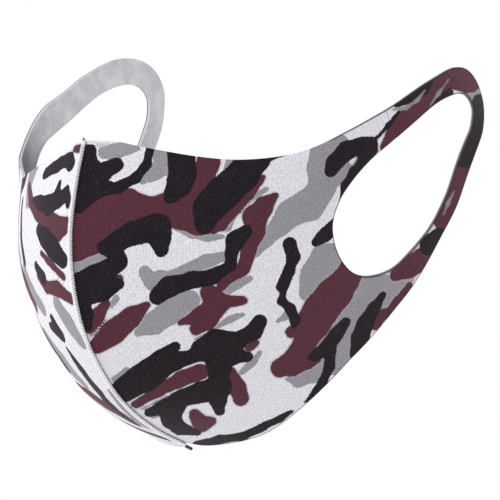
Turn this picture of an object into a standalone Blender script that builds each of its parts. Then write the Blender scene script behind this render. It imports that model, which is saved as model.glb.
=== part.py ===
"""Camouflage face mask: two mirror-image cloth sides joined by one curved centre seam.

Frame: metres, +Z up, the wearer looks along -Y and the wearer's left is +X. The origin is the
nose-bridge end of the centre seam. Each side is a panel and an ear loop cut in one, laid up as a
printed outer knit, a foam core and a knit lining. The mask stands in its worn, three-dimensional
shape. Every outline below is drawn in the side view, as (Y, Z) in millimetres.
"""

import math

import bmesh
import bpy
import numpy as np
from mathutils import Vector

MM = 0.001

# Outlines in the side view, millimetres.
SEAM_LINE = [
    (0, 0), (-5, -15), (-9, -35), (-8, -52), (-2, -70), (10, -86), (27, -99), (46, -107), (66, -112),
]
TOP_EDGE = [
    (0, 0), (3.6, -0.6), (6.5, -2.3), (11, -4.3), (19, -6.6), (30, -7.6), (49, -4.4), (71, 5.3), (88.5, 13.6),
]
BOTTOM_EDGE = [
    (66, -112), (74, -112.6), (81, -109), (86, -99.5), (94, -84.5), (105, -69), (111, -60), (115.8, -51.7),
]
HOLE_FRONT = [
    (93, 2.8), (80.5, -5.7), (72, -13.8), (66.4, -22), (64.4, -32),
    (68.3, -40.8), (77.6, -47.7), (88, -49.8), (100.5, -46.5), (110.2, -38.2),
]
LOOP_INNER_EDGE = [
    (93, 2.8), (106.2, 10.9), (122.3, 19.3), (136, 23), (144, 22.5), (148, 18.5),
    (146.5, 11.5), (142, 5), (133, -7), (125, -19), (118, -30), (110.2, -38.2),
]
LOOP_OUTER_EDGE = [
    (88.5, 13.6), (115, 26.6), (134, 33), (146, 32.4), (153.5, 28), (157, 21),
    (155, 11.5), (149, 2), (137, -14.5), (127, -30), (121, -41.5), (115.8, -51.7),
]

# How far the cloth stands out sideways, as a rule of the distance behind the seam.
HALF_WIDTH = 80.0            # greatest half width, at the cheeks
REAR_RADIUS = 170.0          # the sides close in again behind the cheeks on this radius
SEAM_ANGLE_HEIGHTS = [-110, -95, -80, -60, -30, 0]
SEAM_ANGLES = [6, 12, 18, 21, 19, 14]    # degrees between cloth and the sideways direction, at the seam
DISTANCE_POWER = 8           # smoothing of the distance field inside the seam's bend
EXACT_NEAR = 4.0             # the field is the exact distance closer to the seam than this
EXACT_FADE = 11.0            # and passes into the smoothed one over this much more
SEAM_EXTENSION = 90          # straight run added past both ends of the seam for the field

# The wearer's right loop is set a little higher and fuller than the left one.
RIGHT_LIFT = 10.5
RIGHT_LIFT_START = 62.0
RIGHT_LIFT_FADE = 26.0
RIGHT_LIFT_FLOOR = -40.0
RIGHT_BACK = 8.0
RIGHT_BACK_START = 100.0
RIGHT_BACK_FADE = 30.0
RIGHT_BACK_HEIGHT = -5.0
RIGHT_BACK_SPREAD = 18.0

# Its edge beside the nose sits a little lower.
RIGHT_DIP = 2.8
RIGHT_DIP_WIDTH = 16.0
RIGHT_DIP_FLOOR = -45.0
RIGHT_DIP_END = 34.0
RIGHT_DIP_FADE = 30.0

# The edge of its cheek stands out a little further.
RIGHT_BULGE = 5.5
RIGHT_BULGE_START = 38.0
RIGHT_BULGE_FADE = 30.0
RIGHT_BULGE_END = 70.0
RIGHT_BULGE_RELEASE = 34.0
RIGHT_BULGE_FLOOR = -35.0

# Cloth lay-up, millimetres inward from the printed face: (outer face, inner face).
OUTER_LAYER = (0.0, 0.35)
FOAM_LAYER = (0.47, 0.97)
LINING_LAYER = (1.09, 1.44)

# Centre seam: both outer cloths turn outward into a fin, which the threads wrap.
FIN_GAP = 0.15               # from the middle plane to the fin's inner face
FIN_HEIGHT = 2.0
FIN_BASE_FRONT = -0.15       # where the fin's outer face meets the panel's
FIN_BASE_BACK = -0.5         # where its inner face meets the panel's
FIN_THICKNESS = OUTER_LAYER[1] - OUTER_LAYER[0]
THREAD_CLEARANCE = 0.3
LOOPER_THICKNESS = 0.25
LOOPER_FOOT = 1.0            # the looper threads reach down the fin to this height
TAIL_TOP = 1.5               # thread chain standing past the top end of the seam
TAIL_BOTTOM = 4.0            # and past the chin end
NEEDLE_RADIUS = 0.2
NEEDLE_HEIGHT = 0.5
NEEDLE_SIDES = 6

# The loops are cut in one with the panels; this slit lets each loop swing as its own body.
SLIT = 1.8

# Mesh density.
CUT_CELLS = 2                # cells across a loop, so also across each of its roots
HOLE_CELLS = 14
UPPER_ROOT_SHARE = 0.10      # share of the seam's length whose rows run to the upper root
LOWER_ROOT_SHARE = 0.12
COLUMN_COUNT = 12
FIRST_COLUMN = 0.01          # share of a row's length taken by the strip beside the seam
COLUMN_START_ANGLE = 16.0
LOOP_CELLS = 26
SEAM_SAMPLES = 160
CURVE_STEPS = 40
SMOOTH_ANGLE = math.radians(50)

# Plain colours and surface roughness.
PRINT_COLOUR = (0.36, 0.32, 0.34)
FOAM_COLOUR = (0.80, 0.79, 0.77)
LINING_COLOUR = (0.62, 0.62, 0.64)
LOOPER_COLOUR = (0.70, 0.69, 0.71)
NEEDLE_COLOUR = (0.06, 0.05, 0.06)
PRINT_ROUGHNESS = 0.85
FOAM_ROUGHNESS = 0.95
LINING_ROUGHNESS = 0.9
THREAD_ROUGHNESS = 0.6

# Joint axes as (Y, Z) points in the side view, millimetres.
FOLD_AXIS_TOP = (3.4, 2.0)
FOLD_AXIS_BOTTOM = (69.4, -110.0)
UPPER_ROOT_MIDDLE = (90.7, 8.2)
LOWER_ROOT_MIDDLE = (113.0, -45.0)


def smoothstep(value):
    """0 below 0, 1 above 1, and an even S-curve between."""
    t = np.clip(value, 0.0, 1.0)
    return t * t * (3.0 - 2.0 * t)


def smooth_line(points, shares):
    """Points on a centripetal Catmull-Rom curve through points, at shares of its length."""
    knots = np.array(points, float)
    ends = np.vstack([2 * knots[0] - knots[1], knots, 2 * knots[-1] - knots[-2]])
    times = np.concatenate([[0.0], np.cumsum(np.sqrt(np.linalg.norm(np.diff(ends, axis=0), axis=1)))])
    pieces = []
    for i in range(len(knots) - 1):
        a, b, c, d = ends[i : i + 4]
        ta, tb, tc, td = times[i : i + 4]
        t = np.linspace(tb, tc, CURVE_STEPS)[:, None]
        ab = ((tb - t) * a + (t - ta) * b) / (tb - ta)
        bc = ((tc - t) * b + (t - tb) * c) / (tc - tb)
        cd = ((td - t) * c + (t - tc) * d) / (td - tc)
        abc = ((tc - t) * ab + (t - ta) * bc) / (tc - ta)
        bcd = ((td - t) * bc + (t - tb) * cd) / (td - tb)
        pieces.append(((tc - t) * abc + (t - tb) * bcd) / (tc - tb))
    curve = np.vstack(pieces)
    length = np.concatenate([[0.0], np.cumsum(np.linalg.norm(np.diff(curve, axis=0), axis=1))])
    at = np.asarray(shares) * length[-1]
    return np.column_stack([np.interp(at, length, curve[:, 0]), np.interp(at, length, curve[:, 1])])


def extended_seam():
    """The seam as a fine line, carried on straight past both of its ends."""
    seam = smooth_line(SEAM_LINE, np.linspace(0, 1, SEAM_SAMPLES))
    up = (seam[0] - seam[4]) / np.linalg.norm(seam[0] - seam[4])
    down = (seam[-1] - seam[-5]) / np.linalg.norm(seam[-1] - seam[-5])
    steps = np.arange(1, SEAM_EXTENSION + 1)[:, None]
    return np.vstack([seam[0] + up * steps[::-1], seam, seam[-1] + down * steps])


def seam_distance(points):
    """Distance behind the seam in the side view, smoothed inside the seam's bend."""
    line = extended_seam()
    start, run = line[:-1], np.diff(line, axis=0)
    middle, length = start + run / 2, np.linalg.norm(run, axis=1)
    flat = points.reshape(-1, 1, 2)
    along = np.clip(((flat - start) * run).sum(2) / length**2, 0, 1)
    exact = np.linalg.norm(flat - (start + along[..., None] * run), axis=2).min(1)
    power = DISTANCE_POWER
    straight = math.sqrt(math.pi) * math.gamma((power - 1) / 2) / math.gamma(power / 2)
    reach = np.maximum(np.linalg.norm(flat - middle, axis=2), 1.0)
    soft = ((reach**-power * length).sum(1) / straight) ** (-1 / (power - 1))
    share = smoothstep((exact - EXACT_NEAR) / EXACT_FADE)
    return (exact * (1 - share) + soft * share).reshape(points.shape[:-1])


def half_width(points):
    """How far the printed face stands from the middle plane at each (Y, Z)."""
    distance = seam_distance(points)
    angle = np.radians(np.interp(points[..., 1], SEAM_ANGLE_HEIGHTS, SEAM_ANGLES))
    radius = HALF_WIDTH / (1 - np.sin(angle))
    cheek = radius * np.cos(angle)
    before = np.minimum(distance, cheek)
    front = np.sqrt(np.maximum(radius**2 - (cheek - before) ** 2, 0)) - radius * np.sin(angle)
    behind = np.maximum(distance - cheek, 0)
    rear = HALF_WIDTH - REAR_RADIUS + np.sqrt(REAR_RADIUS**2 - behind**2)
    return np.where(distance < cheek, front, rear)


def row_shares():
    """Where each row starts on the seam, as shares of its length, top to bottom."""
    upper = np.linspace(0, UPPER_ROOT_SHARE, CUT_CELLS + 1)
    middle = np.linspace(UPPER_ROOT_SHARE, 1 - LOWER_ROOT_SHARE, HOLE_CELLS + 1)
    lower = np.linspace(1 - LOWER_ROOT_SHARE, 1, CUT_CELLS + 1)
    return np.concatenate([upper, middle[1:], lower[1:]])


def column_shares():
    """Where each column crosses a row: closer together where the cloth bends round the nose."""
    angles = np.radians(np.linspace(COLUMN_START_ANGLE, 90, COLUMN_COUNT))
    spread = (math.cos(angles[0]) - np.cos(angles)) / math.cos(angles[0])
    return np.concatenate([[0.0], FIRST_COLUMN + (1 - FIRST_COLUMN) * spread])


def slit_offset():
    """Half the slit's width, as a step backwards at right angles to the line of the roots."""
    top, bottom = np.array(LOOP_OUTER_EDGE[0]), np.array(LOOP_OUTER_EDGE[-1])
    run = (bottom - top) / np.linalg.norm(bottom - top)
    return np.array([-run[1], run[0]]) * SLIT / 2


def panel_grid():
    """Side-view points of a panel, rows from top to bottom and columns from seam to rear."""
    across = np.linspace(0, 1, CUT_CELLS + 1)[:, None]
    upper_cut = np.array(LOOP_OUTER_EDGE[0]) * (1 - across) + np.array(LOOP_INNER_EDGE[0]) * across
    lower_cut = np.array(LOOP_INNER_EDGE[-1]) * (1 - across) + np.array(LOOP_OUTER_EDGE[-1]) * across
    hole = smooth_line(HOLE_FRONT, np.linspace(0, 1, HOLE_CELLS + 1))
    back = slit_offset()
    rear = np.vstack([upper_cut - back, hole[1:-1], lower_cut - back])
    rows, columns = row_shares()[:, None, None], column_shares()[None, :, None]
    seam = smooth_line(SEAM_LINE, row_shares())[:, None]
    top = smooth_line(TOP_EDGE, column_shares())[None]
    bottom = smooth_line(BOTTOM_EDGE, column_shares())[None]
    rear = rear[:, None]
    top = top - columns * back
    bottom = bottom - columns * back
    corners = (
        (1 - rows) * ((1 - columns) * seam[0] + columns * rear[0])
        + rows * ((1 - columns) * seam[-1] + columns * rear[-1])
    )
    return (1 - columns) * seam + columns * rear + (1 - rows) * top + rows * bottom - corners


def loop_grid():
    """Side-view points of a loop, from its outer to its inner edge and from upper to lower root."""
    shares = np.linspace(0, 1, LOOP_CELLS + 1)
    outer = smooth_line(LOOP_OUTER_EDGE, shares)[None]
    inner = smooth_line(LOOP_INNER_EDGE, shares)[None]
    across = np.linspace(0, 1, CUT_CELLS + 1)[:, None, None]
    grid = outer * (1 - across) + inner * across
    grid[:, 0] += slit_offset()
    grid[:, -1] += slit_offset()
    return grid


def cloth_points(grid, side):
    """The side-view grid as points of the printed face, in millimetres."""
    points = np.empty(grid.shape[:-1] + (3,))
    points[..., 0] = side * half_width(grid)
    points[..., 1:] = grid
    if side < 0:
        depth, height = grid[..., 0], grid[..., 1]
        lift = smoothstep((depth - RIGHT_LIFT_START) / RIGHT_LIFT_FADE)
        lift *= smoothstep((height - RIGHT_LIFT_FLOOR) / -RIGHT_LIFT_FLOOR)
        fullness = smoothstep((depth - RIGHT_BACK_START) / RIGHT_BACK_FADE)
        fullness *= np.exp(-(((height - RIGHT_BACK_HEIGHT) / RIGHT_BACK_SPREAD) ** 2))
        dip = smoothstep(points[..., 0] / -RIGHT_DIP_WIDTH)
        dip *= smoothstep((height - RIGHT_DIP_FLOOR) / -RIGHT_DIP_FLOOR)
        dip *= 1 - smoothstep((depth - RIGHT_DIP_END) / RIGHT_DIP_FADE)
        bulge = smoothstep((depth - RIGHT_BULGE_START) / RIGHT_BULGE_FADE)
        bulge *= 1 - smoothstep((depth - RIGHT_BULGE_END) / RIGHT_BULGE_RELEASE)
        bulge *= smoothstep((height - RIGHT_BULGE_FLOOR) / -RIGHT_BULGE_FLOOR)
        points[..., 0] -= RIGHT_BULGE * bulge
        points[..., 1] += RIGHT_BACK * fullness
        points[..., 2] += RIGHT_LIFT * lift - RIGHT_DIP * dip
    return points


def outward_normals(points, side):
    """Unit vectors out of the printed face at every grid point."""
    normals = np.cross(np.gradient(points, axis=0), np.gradient(points, axis=1)) * side
    return normals / np.linalg.norm(normals, axis=2, keepdims=True)


def fabric_material(name, colour, roughness):
    """A plain matt cloth or thread colour."""
    material = bpy.data.materials.new(name + "_fabric")
    material.use_nodes = True
    shader = material.node_tree.nodes["Principled BSDF"]
    shader.inputs["Base Color"].default_value = (*colour, 1.0)
    shader.inputs["Roughness"].default_value = roughness
    shader.inputs["Metallic"].default_value = 0.0
    return material


def add_object(name, body, colour, roughness, pivot):
    """Turns a closed bmesh, in millimetres, into a named object under its pivot."""
    bmesh.ops.recalc_face_normals(body, faces=body.faces)
    bmesh.ops.scale(body, vec=(MM, MM, MM), verts=body.verts)
    mesh = bpy.data.meshes.new(name)
    body.to_mesh(mesh)
    body.free()
    mesh.shade_smooth()
    mesh.set_sharp_from_angle(angle=SMOOTH_ANGLE)
    mesh.materials.append(fabric_material(name, colour, roughness))
    thing = bpy.data.objects.new(name, mesh)
    bpy.context.collection.objects.link(thing)
    if pivot is not None:
        thing.parent = pivot
        thing.matrix_parent_inverse = pivot.matrix_world.inverted()
    return thing


def closed_sheet(front, back):
    """A closed body between two matching grids, every cell split along the same diagonal."""
    body = bmesh.new()
    rows, columns = front.shape[:2]
    skins = []
    for grid in (front, back):
        skins.append([[body.verts.new(grid[i, j]) for j in range(columns)] for i in range(rows)])
    for skin in skins:
        for i in range(rows - 1):
            for j in range(columns - 1):
                body.faces.new((skin[i][j], skin[i + 1][j], skin[i + 1][j + 1]))
                body.faces.new((skin[i][j], skin[i + 1][j + 1], skin[i][j + 1]))
    rim = [(i, 0) for i in range(rows)] + [(rows - 1, j) for j in range(1, columns)]
    rim += [(i, columns - 1) for i in range(rows - 2, -1, -1)] + [(0, j) for j in range(columns - 2, 0, -1)]
    for (i, j), (k, m) in zip(rim, rim[1:] + rim[:1]):
        body.faces.new((skins[0][i][j], skins[0][k][m], skins[1][k][m], skins[1][i][j]))
    return body


def seam_frame(shares):
    """Points along the seam and the directions square to it, out of the face, in the side view."""
    points = smooth_line(SEAM_LINE, shares)
    tangent = np.gradient(points, axis=0)
    tangent /= np.linalg.norm(tangent, axis=1, keepdims=True)
    forward = np.column_stack([tangent[:, 1], -tangent[:, 0]])
    return points, tangent, forward


def fin_column(side, sideways, height):
    """A line of points along the seam, sideways from the middle plane and height out of it."""
    points, _, forward = seam_frame(row_shares())
    line = points + forward * height
    return np.column_stack([np.full(len(line), side * sideways), line])[:, None]


def add_panel(side_name, side, pivot):
    """The three layers of one side's panel; the outer one turns out into the seam's fin."""
    points = cloth_points(panel_grid(), side)
    normals = outward_normals(points, side)
    front = np.hstack([
        fin_column(side, FIN_GAP + FIN_THICKNESS, FIN_HEIGHT),
        fin_column(side, FIN_GAP + FIN_THICKNESS, FIN_BASE_FRONT),
        (points - normals * OUTER_LAYER[0])[:, 1:],
    ])
    back = np.hstack([
        fin_column(side, FIN_GAP, FIN_HEIGHT),
        fin_column(side, FIN_GAP, FIN_BASE_BACK),
        (points - normals * OUTER_LAYER[1])[:, 1:],
    ])
    add_object(side_name + "_outer_shell", closed_sheet(front, back), PRINT_COLOUR, PRINT_ROUGHNESS, pivot)
    add_inner_layers(side_name + "_foam_core", side_name + "_lining", points[:, 1:], normals[:, 1:], pivot)


def add_inner_layers(foam_name, lining_name, points, normals, pivot):
    """The foam core and the lining behind one piece of outer cloth."""
    foam = closed_sheet(points - normals * FOAM_LAYER[0], points - normals * FOAM_LAYER[1])
    add_object(foam_name, foam, FOAM_COLOUR, FOAM_ROUGHNESS, pivot)
    lining = closed_sheet(points - normals * LINING_LAYER[0], points - normals * LINING_LAYER[1])
    add_object(lining_name, lining, LINING_COLOUR, LINING_ROUGHNESS, pivot)


def add_loop(side_name, side, pivot):
    """The three layers of one ear loop."""
    points = cloth_points(loop_grid(), side)
    normals = outward_normals(points, side)
    outer = closed_sheet(points - normals * OUTER_LAYER[0], points - normals * OUTER_LAYER[1])
    add_object(side_name + "_loop_outer", outer, PRINT_COLOUR, PRINT_ROUGHNESS, pivot)
    add_inner_layers(side_name + "_loop_foam", side_name + "_loop_lining", points, normals, pivot)


def sweep_profile(profile, side, tails):
    """A closed profile, as (sideways, out of the face) points, swept along the seam."""
    points, tangent, forward = seam_frame(row_shares())
    if tails:
        top_end = points[0] - tangent[0] * TAIL_TOP
        bottom_end = points[-1] + tangent[-1] * TAIL_BOTTOM
        points = np.vstack([top_end, points, bottom_end])
        forward = np.vstack([forward[0], forward, forward[-1]])
    body = bmesh.new()
    rings = []
    for point, out in zip(points, forward):
        ring = []
        for sideways, height in profile:
            ring.append(body.verts.new((side * sideways, *(point + out * height))))
        rings.append(ring)
    for ring, following in zip(rings, rings[1:]):
        for i in range(len(profile)):
            j = (i + 1) % len(profile)
            body.faces.new((ring[i], following[i], following[j], ring[j]))
    body.faces.new(rings[0])
    body.faces.new(rings[-1])
    return body


def add_threads(right_pivot):
    """The needle thread along the fin's foot, and one looper thread over each face of the fin."""
    inner = FIN_GAP + FIN_THICKNESS + THREAD_CLEARANCE
    crest = FIN_HEIGHT + THREAD_CLEARANCE
    cap = [
        (inner, LOOPER_FOOT),
        (inner, crest),
        (FIN_GAP, crest),
        (FIN_GAP, crest + LOOPER_THICKNESS),
        (inner + LOOPER_THICKNESS, crest + LOOPER_THICKNESS),
        (inner + LOOPER_THICKNESS, LOOPER_FOOT),
    ]
    left_cap = sweep_profile(cap, 1, True)
    right_cap = sweep_profile(cap, -1, True)
    add_object("upper_looper_thread", left_cap, LOOPER_COLOUR, THREAD_ROUGHNESS, None)
    add_object("lower_looper_thread", right_cap, LOOPER_COLOUR, THREAD_ROUGHNESS, right_pivot)
    turns = [2 * math.pi * k / NEEDLE_SIDES for k in range(NEEDLE_SIDES)]
    needle = [
        (inner + NEEDLE_RADIUS * (1 + math.cos(turn)), NEEDLE_HEIGHT + NEEDLE_RADIUS * math.sin(turn))
        for turn in turns
    ]
    stitches = sweep_profile(needle, 1, False)
    add_object("needle_thread", stitches, NEEDLE_COLOUR, THREAD_ROUGHNESS, None)


def add_pivot(name, start, end, parent):
    """An empty on a joint's axis, its own Z along the axis; start and end in millimetres."""
    pivot = bpy.data.objects.new(name, None)
    bpy.context.collection.objects.link(pivot)
    pivot.rotation_mode = "QUATERNION"
    pivot.rotation_quaternion = (Vector(end) - Vector(start)).to_track_quat("Z", "X")
    pivot.location = (Vector(start) + Vector(end)) / 2 * MM
    bpy.context.view_layer.update()
    if parent is not None:
        pivot.parent = parent
        pivot.matrix_parent_inverse = parent.matrix_world.inverted()
        bpy.context.view_layer.update()
    return pivot


def root_axis(side):
    """The two root centres of one loop, at the middle of the cloth's thickness."""
    middles = np.array([[UPPER_ROOT_MIDDLE, LOWER_ROOT_MIDDLE]])
    points = cloth_points(middles, side)[0]
    points[:, 0] -= side * LINING_LAYER[1] / 2
    return points[0], points[1]


def main():
    for thing in list(bpy.data.objects):
        bpy.data.objects.remove(thing, do_unlink=True)
    fold = add_pivot("seam_fold_axis", (0, *FOLD_AXIS_TOP), (0, *FOLD_AXIS_BOTTOM), None)
    left_hinge = add_pivot("left_loop_axis", *root_axis(1), None)
    right_hinge = add_pivot("right_loop_axis", *root_axis(-1), fold)
    add_panel("left", 1, None)
    add_loop("left", 1, left_hinge)
    add_panel("right", -1, fold)
    add_loop("right", -1, right_hinge)
    add_threads(fold)


main()
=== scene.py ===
"""Looks of the camouflage face mask: knit laminate sides, printed cloth, overlocked centre seam."""

import math

import bmesh
import bpy
import numpy as np
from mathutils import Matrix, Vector
from mathutils.kdtree import KDTree


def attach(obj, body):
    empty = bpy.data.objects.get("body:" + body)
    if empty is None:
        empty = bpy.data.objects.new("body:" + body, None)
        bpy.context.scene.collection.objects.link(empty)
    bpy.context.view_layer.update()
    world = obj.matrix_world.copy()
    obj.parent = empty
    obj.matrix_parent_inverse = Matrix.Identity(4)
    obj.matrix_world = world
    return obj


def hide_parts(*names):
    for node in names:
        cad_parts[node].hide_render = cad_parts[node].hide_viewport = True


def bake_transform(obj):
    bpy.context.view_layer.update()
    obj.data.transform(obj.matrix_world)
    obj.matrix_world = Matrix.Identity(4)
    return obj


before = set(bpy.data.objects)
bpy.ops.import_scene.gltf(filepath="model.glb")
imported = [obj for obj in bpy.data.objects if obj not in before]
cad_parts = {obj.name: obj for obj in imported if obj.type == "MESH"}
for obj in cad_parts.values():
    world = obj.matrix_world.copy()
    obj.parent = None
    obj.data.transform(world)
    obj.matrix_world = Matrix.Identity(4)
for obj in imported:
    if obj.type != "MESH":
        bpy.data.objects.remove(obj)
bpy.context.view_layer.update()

MM = 0.001

# Outlines in the side view, (Y, Z) in millimetres: the same as the frame's.
SEAM_LINE = [(0, 0), (-5, -15), (-9, -35), (-8, -52), (-2, -70), (10, -86), (27, -99), (46, -107), (66, -112)]
TOP_EDGE = [
    (0, 0), (3.6, -0.6), (6.5, -2.3), (11, -4.3), (19, -6.6),
    (30, -7.6), (49, -4.4), (71, 5.3), (88.5, 13.6),
]
BOTTOM_EDGE = [
    (66, -112), (74, -112.6), (81, -109), (86, -99.5),
    (94, -84.5), (105, -69), (111, -60), (115.8, -51.7),
]
HOLE_FRONT = [
    (93, 2.8), (80.5, -5.7), (72, -13.8), (66.4, -22), (64.4, -32),
    (68.3, -40.8), (77.6, -47.7), (88, -49.8), (100.5, -46.5), (110.2, -38.2),
]
LOOP_INNER_EDGE = [
    (93, 2.8), (106.2, 10.9), (122.3, 19.3), (136, 23), (144, 22.5), (148, 18.5),
    (146.5, 11.5), (142, 5), (133, -7), (125, -19), (118, -30), (110.2, -38.2),
]
LOOP_OUTER_EDGE = [
    (88.5, 13.6), (115, 26.6), (134, 33), (146, 32.4), (153.5, 28), (157, 21),
    (155, 11.5), (149, 2), (137, -14.5), (127, -30), (121, -41.5), (115.8, -51.7),
]

# How far the cloth stands out sideways behind the seam, millimetres and degrees.
HALF_WIDTH = 80.0
REAR_RADIUS = 170.0
SEAM_ANGLE_HEIGHTS = [-110, -95, -80, -60, -30, 0]
SEAM_ANGLES = [6, 12, 18, 21, 19, 14]
DISTANCE_POWER = 8
EXACT_NEAR = 4.0
EXACT_FADE = 11.0
SEAM_EXTENSION = 90
DISTANCE_BATCH = 2000

# The wearer's right loop sits a little higher, its cheek is fuller and its nose edge dips.
RIGHT_LIFT, RIGHT_LIFT_START, RIGHT_LIFT_FADE, RIGHT_LIFT_FLOOR = 10.5, 62.0, 26.0, -40.0
RIGHT_DIP, RIGHT_DIP_WIDTH, RIGHT_DIP_FLOOR, RIGHT_DIP_END, RIGHT_DIP_FADE = 2.8, 16.0, -45.0, 34.0, 30.0
RIGHT_BULGE, RIGHT_BULGE_START, RIGHT_BULGE_FADE = 5.5, 38.0, 30.0
RIGHT_BULGE_END, RIGHT_BULGE_RELEASE, RIGHT_BULGE_FLOOR = 70.0, 34.0, -35.0
RIGHT_BACK, RIGHT_BACK_START, RIGHT_BACK_FADE = 8.0, 100.0, 30.0
RIGHT_BACK_HEIGHT, RIGHT_BACK_SPREAD = -5.0, 18.0

# Cloth lay-up, millimetres inward from the printed face.
OUTER_LAYER = (0.0, 0.36)
FOAM_LAYER = (0.37, 1.06)
LINING_LAYER = (1.07, 1.44)

# The seam's standing fin, and the threads over it.
FIN_GAP = 0.12
FIN_HEIGHT = 1.2
FIN_BASE_FRONT = -0.15
FIN_BASE_BACK = -0.5
FIN_THICKNESS = 0.36
SEAM_SINK = 0.3
STITCH_PITCH = 0.95
LOOPER_STEPS, LOOPER_RADIUS, LOOPER_INSET = 12, 0.15, 0.2
LOOPER_MIDDLE, LOOPER_SPREAD, LOOPER_TURNOVER = 0.04, 0.58, 5.0
LOOPER_CREST, LOOPER_DROP, LOOPER_SHARPNESS = 1.36, 1.0, 2.5
LOOPER_HOLD, LOOPER_EASE = 0.12, 0.9
NEEDLE_STEPS, NEEDLE_RADIUS, NEEDLE_INSET = 6, 0.12, 0.4
NEEDLE_SIDEWAYS, NEEDLE_BOW, NEEDLE_HEIGHT = 0.52, 0.16, 0.2
TAIL_TOP = 0.7
TAIL_BOTTOM = 5.0
TAIL_OVERLAP, TAIL_STEP, TAIL_PITCH = 0.8, 0.12, 0.9
TAIL_COIL, TAIL_HEIGHT, TAIL_RADIUS, TAIL_TIP = 0.45, 0.9, 0.28, 0.35
THREAD_SIDES = 6

# Slow swells of the soft cloth: heights and wave lengths.
SWELL_HEIGHT, SWELL_DEPTH, SWELL_RISE = 0.35, 13.0, 19.0
SWELL_CROSS_RISE, SWELL_CROSS_DEPTH = 15.0, 31.0
RIPPLE_HEIGHT, RIPPLE_RISE, RIPPLE_DEPTH = 0.25, 7.5, 9.0
RIPPLE_START, RIPPLE_FADE = 60, 40
RELIEF_FADE = 25.0

# Mesh density.
CUT_CELLS = 14
HOLE_CELLS = 92
UPPER_ROOT_SHARE = 0.10
LOWER_ROOT_SHARE = 0.12
COLUMN_COUNT = 84
FIRST_COLUMN = 0.01
COLUMN_START_ANGLE = 16.0
LOOP_CELLS = 190
SEAM_SAMPLES = 160
SEAM_STEPS = 400
CURVE_STEPS = 60
SHARP_ANGLE = math.radians(55)

# The direction that the print is laid on the cloth from, and its height tilt.
PRINT_AZIMUTH = math.radians(35)
PRINT_TILT = math.radians(-4)


def smoothstep(value):
    """0 up to 0, 1 from 1 on, and a smooth rise between."""
    t = np.clip(value, 0.0, 1.0)
    return t * t * (3.0 - 2.0 * t)


def smooth_line(points, shares):
    """Points on a centripetal Catmull-Rom curve through points, at shares of its length."""
    knots = np.array(points, float)
    ends = np.vstack([2 * knots[0] - knots[1], knots, 2 * knots[-1] - knots[-2]])
    times = np.concatenate([[0.0], np.cumsum(np.sqrt(np.linalg.norm(np.diff(ends, axis=0), axis=1)))])
    pieces = []
    for i in range(len(knots) - 1):
        a, b, c, d = ends[i : i + 4]
        ta, tb, tc, td = times[i : i + 4]
        t = np.linspace(tb, tc, CURVE_STEPS)[:, None]
        ab = ((tb - t) * a + (t - ta) * b) / (tb - ta)
        bc = ((tc - t) * b + (t - tb) * c) / (tc - tb)
        cd = ((td - t) * c + (t - tc) * d) / (td - tc)
        abc = ((tc - t) * ab + (t - ta) * bc) / (tc - ta)
        bcd = ((td - t) * bc + (t - tb) * cd) / (td - tb)
        pieces.append(((tc - t) * abc + (t - tb) * bcd) / (tc - tb))
    curve = np.vstack(pieces)
    length = np.concatenate([[0.0], np.cumsum(np.linalg.norm(np.diff(curve, axis=0), axis=1))])
    at = np.asarray(shares) * length[-1]
    return np.column_stack([np.interp(at, length, curve[:, i]) for i in range(curve.shape[1])])


def extended_seam():
    """The seam's side view, run straight on past both ends."""
    seam = smooth_line(SEAM_LINE, np.linspace(0, 1, SEAM_SAMPLES))
    up = (seam[0] - seam[4]) / np.linalg.norm(seam[0] - seam[4])
    down = (seam[-1] - seam[-5]) / np.linalg.norm(seam[-1] - seam[-5])
    steps = np.arange(1, SEAM_EXTENSION + 1)[:, None]
    return np.vstack([seam[0] + up * steps[::-1], seam, seam[-1] + down * steps])


def seam_distance(points):
    """Distance behind the seam in the side view, smoothed inside the seam's bend."""
    line = extended_seam()
    start, run = line[:-1], np.diff(line, axis=0)
    middle, length = start + run / 2, np.linalg.norm(run, axis=1)
    power = DISTANCE_POWER
    straight = math.sqrt(math.pi) * math.gamma((power - 1) / 2) / math.gamma(power / 2)
    flat = points.reshape(-1, 2)
    result = np.empty(len(flat))
    for first in range(0, len(flat), DISTANCE_BATCH):
        part = flat[first : first + DISTANCE_BATCH, None]
        along = np.clip(((part - start) * run).sum(2) / length**2, 0, 1)
        exact = np.linalg.norm(part - (start + along[..., None] * run), axis=2).min(1)
        reach = np.maximum(np.linalg.norm(part - middle, axis=2), 1.0)
        soft = ((reach**-power * length).sum(1) / straight) ** (-1 / (power - 1))
        share = smoothstep((exact - EXACT_NEAR) / EXACT_FADE)
        result[first : first + DISTANCE_BATCH] = exact * (1 - share) + soft * share
    return result.reshape(points.shape[:-1])


def half_width(points):
    """How far the cloth stands out sideways at side-view points: a round front, then a slack rear."""
    distance = seam_distance(points)
    angle = np.radians(np.interp(points[..., 1], SEAM_ANGLE_HEIGHTS, SEAM_ANGLES))
    radius = HALF_WIDTH / (1 - np.sin(angle))
    cheek = radius * np.cos(angle)
    before = np.minimum(distance, cheek)
    front = np.sqrt(np.maximum(radius**2 - (cheek - before) ** 2, 0)) - radius * np.sin(angle)
    behind = np.maximum(distance - cheek, 0)
    rear = HALF_WIDTH - REAR_RADIUS + np.sqrt(REAR_RADIUS**2 - behind**2)
    return np.where(distance < cheek, front, rear)


def row_shares():
    """Shares of the way down a panel, with a row at every cell of the roots and of the ear hole."""
    upper = np.linspace(0, UPPER_ROOT_SHARE, CUT_CELLS + 1)
    middle = np.linspace(UPPER_ROOT_SHARE, 1 - LOWER_ROOT_SHARE, HOLE_CELLS + 1)
    lower = np.linspace(1 - LOWER_ROOT_SHARE, 1, CUT_CELLS + 1)
    return np.concatenate([upper, middle[1:], lower[1:]])


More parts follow.
